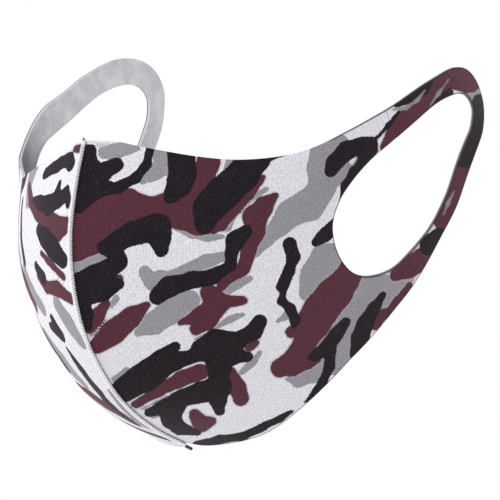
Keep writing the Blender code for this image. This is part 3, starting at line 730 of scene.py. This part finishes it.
class Cloth:
    """Grids that share vertices are added one after another; close() turns them into one closed sheet."""

    def __init__(self):
        self.front, self.back, self.uv, self.cells = [], [], [], []

    def add(self, front, back, uv, known=None):
        """Adds a grid. known maps a cell corner (row, column) to a vertex that is already there."""
        rows, columns = front.shape[:2]
        index = np.empty((rows, columns), int)
        for i in range(rows):
            for j in range(columns):
                if known and (i, j) in known:
                    index[i, j] = known[i, j]
                    continue
                index[i, j] = len(self.front)
                self.front.append(front[i, j])
                self.back.append(back[i, j])
                self.uv.append(uv[i, j])
        for i in range(rows - 1):
            for j in range(columns - 1):
                self.cells.append((index[i, j], index[i + 1, j], index[i + 1, j + 1], index[i, j + 1]))
        return index

    def close(self, name, material, side, hidden=()):
        """The sheet as an object; hidden vertices lie where two sheets meet, and have no painted shade at the
        rim.
        """
        count = len(self.front)
        sides = {}
        for cell in self.cells:
            for a, b in zip(cell, cell[1:] + cell[:1]):
                sides[(a, b)] = (b, a) not in sides and sides.setdefault((a, b), True)
        rim = [(a, b) for a, b in sides if (b, a) not in sides]
        faces = [tuple(int(v) for v in cell) for cell in self.cells]
        faces += [tuple(int(v) + count for v in reversed(cell)) for cell in self.cells]
        faces += [(int(b), int(a), int(a) + count, int(b) + count) for a, b in rim]
        front, back = np.array(self.front), np.array(self.back)
        uvs = np.vstack([np.array(self.uv)] * 2)
        cut = [a for a, _ in rim if abs(front[a][0]) > SEAM_ZONE and a not in hidden]
        edge = KDTree(len(cut))
        for i, a in enumerate(cut):
            edge.insert(front[a], i)
        edge.balance()
        inward = np.array([edge.find(point)[2] for point in front])
        # The right side's foam and lining are kept clear of the painted rim shade.
        if side < 0 and material.name != PRINT_NAME:
            inward += RIGHT_RIM_CLEAR
        inward += RIM_CLEAR * (1 - smoothstep((front[:, 1] - RIM_CLEAR_DEPTH) / RIM_CLEAR_FADE))
        # Painted shadow, used by the lining: strongest where the right loop starts, none on the left side.
        reach = np.hypot(front[:, 1] - SHADE_CENTRE[0], front[:, 2] - SHADE_CENTRE[1])
        depth = np.exp(-((reach / SHADE_REACH) ** 2)) * (side < 0)
        attributes = {"edge_distance": np.tile(inward, 2), "painted_shadow_inside": np.tile(depth, 2)}
        if material.name == PRINT_NAME:
            places = print_coordinates(np.vstack([front, front]))
            for key, left, right in (
                ("print_black", BLACK_STROKES, RIGHT_BLACK_STROKES),
                ("print_burgundy", BURGUNDY_STROKES, RIGHT_BURGUNDY_STROKES),
                ("print_grey", GREY_STROKES, RIGHT_GREY_STROKES),
                ("print_sliver", SLIVER_STROKES, []),
            ):
                attributes[key] = stroke_distance(places, strokes_for(side, left, right))
                if side < 0:
                    attributes[key] = seam_margin(attributes[key], places, front)
        thing = make_object(name, np.vstack([front, back]), faces, uvs, material, attributes)
        corners = front[np.array(self.cells)]
        diagonals = np.cross(corners[:, 2] - corners[:, 0], corners[:, 3] - corners[:, 1])
        thing["flat_area"] = float(np.linalg.norm(diagonals, axis=1).sum() / 2 * MM * MM)
        return thing


def cloth_runs(points):
    """Distance across and along the cloth at each grid point, millimetres."""
    across = np.linalg.norm(np.diff(points, axis=1), axis=2)
    along = np.linalg.norm(np.diff(points, axis=0), axis=2).mean(1)
    u = np.hstack([np.zeros((len(points), 1)), np.cumsum(across, axis=1)])
    v = np.concatenate([[0], np.cumsum(along)])[:, None] * np.ones(points.shape[1])
    return np.stack([u, v], axis=-1)


def seam_frame(shares):
    """Points of the seam, its direction and the way out of the face, all in the side view."""
    points = smooth_line(SEAM_LINE, shares)
    tangent = np.gradient(points, axis=0)
    tangent /= np.linalg.norm(tangent, axis=1, keepdims=True)
    forward = np.column_stack([tangent[:, 1], -tangent[:, 0]])
    return points, tangent, forward


def fin_column(side, sideways, height):
    """A column of points beside the seam, height out of the face."""
    points, _, forward = seam_frame(row_shares())
    line = points + forward * height
    return np.column_stack([np.full(len(line), side * sideways), line])[:, None]


def soft_relief(points, side):
    """Slow swells of soft cloth, millimetres along its normal; nothing at the seam."""
    depth, height = points[..., 1], points[..., 2]
    swell = SWELL_HEIGHT * np.sin(depth / SWELL_DEPTH + height / SWELL_RISE + side)
    swell *= np.sin(height / SWELL_CROSS_RISE - depth / SWELL_CROSS_DEPTH)
    ripple = RIPPLE_HEIGHT * np.sin(height / RIPPLE_RISE + depth / RIPPLE_DEPTH + 2 * side)
    swell += ripple * smoothstep((depth - RIPPLE_START) / RIPPLE_FADE)
    return swell * smoothstep(np.abs(points[..., 0]) / RELIEF_FADE)


def side_layers(side):
    """Points and normals of one side's panel and loop, and the run of the cloth on each."""
    made = []
    for grid in (panel_grid(), loop_grid()):
        points = cloth_points(grid, side)
        normals = outward_normals(points, side)
        made.append((points, normals, cloth_runs(points)))
    (panel, panel_normals, _), (loop, loop_normals, _) = made
    last = len(panel) - 1 - CUT_CELLS
    for i in range(CUT_CELLS + 1):
        for row, column in ((i, 0), (CUT_CELLS - i, LOOP_CELLS)):
            panel_row = i if column == 0 else last + i
            shared = panel_normals[panel_row, -1] + loop_normals[row, column]
            shared /= np.linalg.norm(shared)
            panel_normals[panel_row, -1] = shared
            loop_normals[row, column] = shared
    for points, normals, _ in made:
        points += normals * soft_relief(points, side)[..., None]
    return made


def outer_panel(points, normals, runs, side):
    """Front, back and cloth coordinates of the printed panel, which turns out into the seam's fin."""
    front = np.hstack([
        fin_column(side, FIN_GAP + FIN_THICKNESS, FIN_HEIGHT),
        fin_column(side, FIN_GAP + FIN_THICKNESS, FIN_HEIGHT / 2),
        fin_column(side, FIN_GAP + FIN_THICKNESS, FIN_BASE_FRONT),
        (points - normals * OUTER_LAYER[0])[:, 1:],
    ])
    back = np.hstack([
        fin_column(side, FIN_GAP, FIN_HEIGHT),
        fin_column(side, FIN_GAP, FIN_HEIGHT / 2),
        fin_column(side, FIN_GAP, FIN_BASE_BACK),
        (points - normals * OUTER_LAYER[1])[:, 1:],
    ])
    fin = np.repeat(runs[:, :1], 2, axis=1)
    fin[:, :, 0] -= [FIN_HEIGHT, FIN_HEIGHT / 2]
    return front, back, np.hstack([fin, runs])


def layer_grids(side_data, layer, side):
    """Front, back and cloth coordinates of the panel and of the loop in one layer."""
    (points, normals, runs), loop = side_data
    if layer == OUTER_LAYER:
        panel = outer_panel(points, normals, runs, side)
    else:
        faces = []
        for inward in layer:
            column = fin_column(side, FIN_GAP / 2, -inward - SEAM_SINK)
            faces.append(np.hstack([column, (points - normals * inward)[:, 1:]]))
        panel = (*faces, runs)
    return panel, (loop[0] - loop[1] * layer[0], loop[0] - loop[1] * layer[1], loop[2])


def joined_side(name, side_data, layer, side, material):
    """Panel and loop of one layer as one sheet, cut in one as the real cloth is."""
    panel, loop = layer_grids(side_data, layer, side)
    cloth = Cloth()
    index = cloth.add(*panel)
    rows = len(index) - 1
    known = {(i, 0): index[i, -1] for i in range(CUT_CELLS + 1)}
    for i in range(CUT_CELLS + 1):
        known[CUT_CELLS - i, LOOP_CELLS] = index[rows - CUT_CELLS + i, -1]
    cloth.add(*loop, known)
    return cloth.close(name, material, side)


def one_grid(name, grids, side, material):
    """A panel or a loop of one layer as a sheet of its own."""
    cloth = Cloth()
    index = cloth.add(*grids)
    if len(index) == CUT_CELLS + 1:
        hidden = {*index[1:-1, 0], *index[1:-1, -1]}
    else:
        hidden = {*index[1:CUT_CELLS, -1], *index[-CUT_CELLS:-1, -1]}
    return cloth.close(name, material, side, hidden)


def declare_sheet(thing, nodes):
    """For a cut of cloth worn stretched over the face: hides the parts that it stands in for, and drops its
    flat area.
    """
    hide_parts(*nodes)
    del thing["flat_area"]


def tube(name, path, radius, sides, material):
    """A closed round tube along path, millimetres."""
    path = np.array(path, float)
    tangent = np.gradient(path, axis=0)
    tangent /= np.linalg.norm(tangent, axis=1, keepdims=True)
    helper = np.array([0.3, 0.5, 0.81])
    vertices, uvs, faces = [], [], []
    run = np.concatenate([[0], np.cumsum(np.linalg.norm(np.diff(path, axis=0), axis=1))])
    turns = np.linspace(0, 2 * math.pi, sides, endpoint=False)
    for point, direction, along in zip(path, tangent, run):
        first = helper - direction * (helper @ direction)
        first /= np.linalg.norm(first)
        second = np.cross(direction, first)
        helper = first
        for turn in turns:
            vertices.append(point + radius * (math.cos(turn) * first + math.sin(turn) * second))
            uvs.append((turn / (2 * math.pi) / MM, along))
    for i in range(len(path) - 1):
        for j in range(sides):
            k = (j + 1) % sides
            faces.append((i * sides + j, i * sides + k, (i + 1) * sides + k, (i + 1) * sides + j))
    faces.append(tuple(range(sides - 1, -1, -1)))
    faces.append(tuple(range((len(path) - 1) * sides, len(path) * sides)))
    return make_object(name, np.array(vertices), faces, np.array(uvs), material)


def seam_length():
    """Length of the seam, millimetres."""
    line = smooth_line(SEAM_LINE, np.linspace(0, 1, SEAM_STEPS))
    return np.linalg.norm(np.diff(line, axis=0), axis=1).sum()


def seam_places(lengths, sideways, heights):
    """Points at given lengths down the seam, sideways of the middle plane and out of the face."""
    total = seam_length()
    inside = np.clip(lengths / total, 0, 1)
    at = inside * (SEAM_STEPS - 1)
    steps = np.arange(SEAM_STEPS)
    point, tangent, forward = (
        np.column_stack([np.interp(at, steps, values[:, k]) for k in (0, 1)])
        for values in seam_frame(np.linspace(0, 1, SEAM_STEPS))
    )
    beyond = lengths - inside * total
    return np.column_stack([sideways, point + tangent * beyond[:, None] + forward * heights[:, None]])


def looper_path(side, start, end):
    """A looper thread's zigzag between the fin's crest and its foot, one V for every stitch."""
    step = np.arange(start, end, STITCH_PITCH / LOOPER_STEPS)
    phase = (step / STITCH_PITCH) % 1.0
    swing = (0.5 - 0.5 * np.cos(2 * math.pi * phase)) ** LOOPER_SHARPNESS
    sideways = side * (LOOPER_MIDDLE + LOOPER_SPREAD * np.minimum(swing * LOOPER_TURNOVER, 1.0))
    drop = np.maximum((swing - LOOPER_HOLD) / (1 - LOOPER_HOLD), 0) ** LOOPER_EASE
    return seam_places(step, sideways, LOOPER_CREST - LOOPER_DROP * drop)


def needle_path(start, end):
    """Straight stitches at the fin's foot, each dipping into the cloth at its ends."""
    step = np.arange(start, end, STITCH_PITCH / NEEDLE_STEPS)
    phase = (step / STITCH_PITCH) % 1.0
    sideways = NEEDLE_SIDEWAYS + NEEDLE_BOW * np.sin(math.pi * phase)
    return seam_places(step, sideways, np.full(len(step), NEEDLE_HEIGHT))


def wrapped_tail(name, start, end, material):
    """The chain of crossed threads that runs off an end of the seam."""
    step = np.arange(start, end, TAIL_STEP)
    turn = step * 2 * math.pi / TAIL_PITCH
    taper = np.clip(np.minimum(step - start, end - step) / TAIL_OVERLAP + TAIL_TIP, 0, 1)
    coil = TAIL_COIL * taper
    path = seam_places(step, coil * np.cos(turn), TAIL_HEIGHT + coil * np.sin(turn))
    return tube(name, path, TAIL_RADIUS, THREAD_SIDES, material)


# ---------------------------------------------------------------- the object

# Distances across a loop's root line, in millimetres.
ROOT_BLEND = 6.0
LOOP_BLEND_END = 13.0

fabrics = {"outer": printed_knit(), "foam": foam(), "lining": lining_knit()}
layers = {"outer": OUTER_LAYER, "foam": FOAM_LAYER, "lining": LINING_LAYER}
panel_nodes = {"outer": "outer_shell", "foam": "foam_core", "lining": "lining"}


def root_line(side):
    """Middle of the line through a loop's two roots, and the way across it towards the loop."""
    top, bottom = np.array(LOOP_OUTER_EDGE[0]), np.array(LOOP_OUTER_EDGE[-1])
    run = (bottom - top) / np.linalg.norm(bottom - top)
    middle = (top + bottom) / 2
    point = cloth_points(np.array([[middle]], float), side)[0, 0]
    return point, np.array([0.0, -run[1], run[0]])


left = side_layers(1)
right = side_layers(-1)
for layer in layers:
    thing = joined_side(f"left_{layer}_cloth", left, layers[layer], 1, fabrics[layer])
    declare_sheet(thing, [f"left_{panel_nodes[layer]}", f"left_loop_{layer}"])
    middle, across = root_line(1)
    start, end = middle - across * ROOT_BLEND, middle + across * ROOT_BLEND
    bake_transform(thing)

    panel, loop = layer_grids(right, layers[layer], -1)
    thing = one_grid(f"right_{layer}_panel", panel, -1, fabrics[layer])
    declare_sheet(thing, [f"right_{panel_nodes[layer]}"])
    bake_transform(thing)
    thing = one_grid(f"right_{layer}_loop", loop, -1, fabrics[layer])
    declare_sheet(thing, [f"right_loop_{layer}"])
    middle, across = root_line(-1)
    end = middle + across * LOOP_BLEND_END
    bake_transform(thing)

looper = thread("overlock_thread", LOOPER_DARK, LOOPER_LIGHT)
dark = thread("dark_thread", NEEDLE_DARK, NEEDLE_LIGHT)
seam_end = seam_length()

path = looper_path(1, LOOPER_INSET, seam_end - LOOPER_INSET)
thing = tube("upper_looper_stitches", path, LOOPER_RADIUS, THREAD_SIDES, looper)
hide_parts("upper_looper_thread")
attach(thing, "left_half")
path = looper_path(-1, LOOPER_INSET, seam_end - LOOPER_INSET)
thing = tube("lower_looper_stitches", path, LOOPER_RADIUS, THREAD_SIDES, looper)
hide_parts("lower_looper_thread")
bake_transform(thing)
path = needle_path(NEEDLE_INSET, seam_end - NEEDLE_INSET)
thing = tube("needle_stitches", path, NEEDLE_RADIUS, THREAD_SIDES, dark)
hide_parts("needle_thread")
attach(thing, "left_half")
for name, start, end in (
    ("top_thread_tail", -TAIL_TOP, TAIL_OVERLAP),
    ("chin_thread_tail", seam_end - TAIL_OVERLAP, seam_end + TAIL_BOTTOM),
):
    thing = wrapped_tail(name, start, end, dark)
    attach(thing, "left_half")


# ---------------------------------------------------------------- setting, light and camera

# Metres, and watts for a light's power.
FLOOR_HEIGHT, FLOOR_REACH = -0.75, 14
FLOOR_COLOUR, FLOOR_ROUGHNESS = (0.9, 0.9, 0.9), 0.9
LIGHTS = (
    ("key_light", (-0.55, -1.3, 0.75), (0, 0.05, -0.05), 0.7, 5),
    ("fill_light", (1.3, -0.7, 0.5), (0, 0.05, -0.05), 1.2, 1.5),
    ("side_light", (-1.4, -0.75, 0.25), (0, 0.05, -0.05), 0.5, 8),
    ("back_light", (0.3, 1.3, 0.9), (0, 0.08, -0.05), 0.9, 2),
)
CAMERA_DISTANCE = 8.0
VIEW_WIDTH = 0.1908
VIEW_CENTRE = (0.0626, -0.0416)
VIEW_SETBACK = -0.03
SENSOR_WIDTH = 36


def plain(name, colour, roughness):
    """A material of one even colour."""
    material, _, shader = new_material(name, roughness)
    shader.inputs["Base Color"].default_value = (*colour, 1.0)
    return material


floor_mesh = bpy.data.meshes.new("floor")
corners = [(x * FLOOR_REACH, y * FLOOR_REACH, FLOOR_HEIGHT) for x, y in ((-1, -1), (1, -1), (1, 1), (-1, 1))]
floor_mesh.from_pydata(corners, [], [(0, 1, 2, 3)])
floor_mesh.materials.append(plain("floor_paint", FLOOR_COLOUR, FLOOR_ROUGHNESS))
floor = bpy.data.objects.new("floor", floor_mesh)
bpy.context.scene.collection.objects.link(floor)


def area_light(name, position, target, size, power):
    """A soft round light at position, turned to target."""
    light = bpy.data.lights.new(name, "AREA")
    light.shape = "DISK"
    light.size = size
    light.energy = power
    thing = bpy.data.objects.new(name, light)
    thing.location = position
    thing.rotation_mode = "QUATERNION"
    thing.rotation_quaternion = (Vector(target) - Vector(position)).to_track_quat("-Z", "Y")
    bpy.context.scene.collection.objects.link(thing)


for light_row in LIGHTS:
    area_light(*light_row)

world = bpy.data.worlds.new("studio")
bpy.context.scene.world = world
world.use_nodes = True
world.node_tree.nodes["Background"].inputs["Color"].default_value = (1.0, 1.0, 1.0, 1.0)
world.node_tree.nodes["Background"].inputs["Strength"].default_value = 1.0

# The camera is 35 degrees round towards the wearer's left and 4 degrees below level.
right_way = Vector((math.cos(PRINT_AZIMUTH), math.sin(PRINT_AZIMUTH), 0))
back_way = Vector((
    math.sin(PRINT_AZIMUTH) * math.cos(PRINT_TILT),
    -math.cos(PRINT_AZIMUTH) * math.cos(PRINT_TILT),
    math.sin(PRINT_TILT),
))
up_way = back_way.cross(right_way)
camera = bpy.data.cameras.new("camera")
camera.sensor_width = SENSOR_WIDTH
camera.lens = camera.sensor_width * CAMERA_DISTANCE / VIEW_WIDTH
camera_object = bpy.data.objects.new("camera", camera)
aim = right_way * VIEW_CENTRE[0] + up_way * VIEW_CENTRE[1] + back_way * VIEW_SETBACK
camera_object.location = aim + back_way * CAMERA_DISTANCE
camera_object.rotation_mode = "QUATERNION"
camera_object.rotation_quaternion = (-back_way).to_track_quat("-Z", "Y")
bpy.context.scene.collection.objects.link(camera_object)
bpy.context.scene.camera = camera_object
bpy.context.scene.view_settings.view_transform = "Standard"
